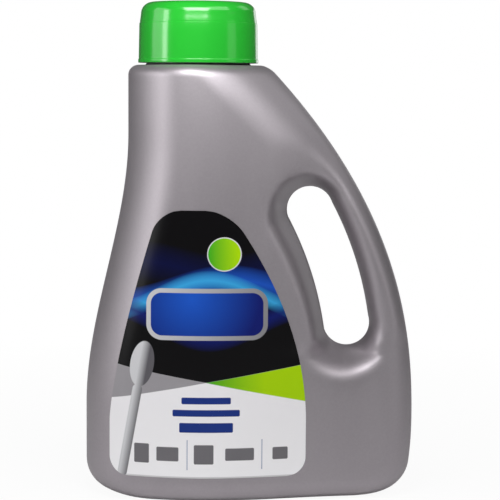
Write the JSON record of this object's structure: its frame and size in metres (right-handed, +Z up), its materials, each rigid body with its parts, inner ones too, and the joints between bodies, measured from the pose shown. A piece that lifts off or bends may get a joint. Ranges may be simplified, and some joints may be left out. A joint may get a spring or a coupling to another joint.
{
  "type": "dishwasher powder bottle with handle and screw cap",
  "caption": "Blow-moulded powder bottle with a through handle, a wide threaded neck, a green screw cap with a foam liner and a shaped front label.",
  "frame": {"origin": "on the base, under the middle of the body's width, in the parting plane of the mould", "axes": "+Z up, +X from the neck side to the handle side, +Y from the label to the back"},
  "size_m": [0.1514, 0.0684, 0.225],
  "materials": {
    "bottle_plastic": "satin pearly silver-grey blow-moulded polyethylene with a fine grain",
    "cap_plastic": "glossy green injection-moulded polypropylene",
    "liner_foam": "white closed-cell foam",
    "label_film": "printed glossy film"
  },
  "bodies": {
    "root": {"bottle": "bottle_plastic", "front_label": "label_film"},
    "liner_carrier": {"cap_liner": "liner_foam"},
    "screw_cap": {"cap": "cap_plastic"}
  },
  "joints": [
    {"name": "cap_lift", "type": "slide", "parent": "root", "child": "liner_carrier", "axis": [0, 0, 1], "range_m": [0, 0.027]},
    {"name": "cap_turn", "type": "hinge", "parent": "liner_carrier", "child": "screw_cap", "pos_m": [-0.0241, 0, 0.21], "axis": [0, 0, 1], "range_deg": [0, 1625]}
  ],
  "couplings": [
    {"joint": "cap_turn", "follows": "cap_lift", "rad_per_m": 1047.2}
  ]
}
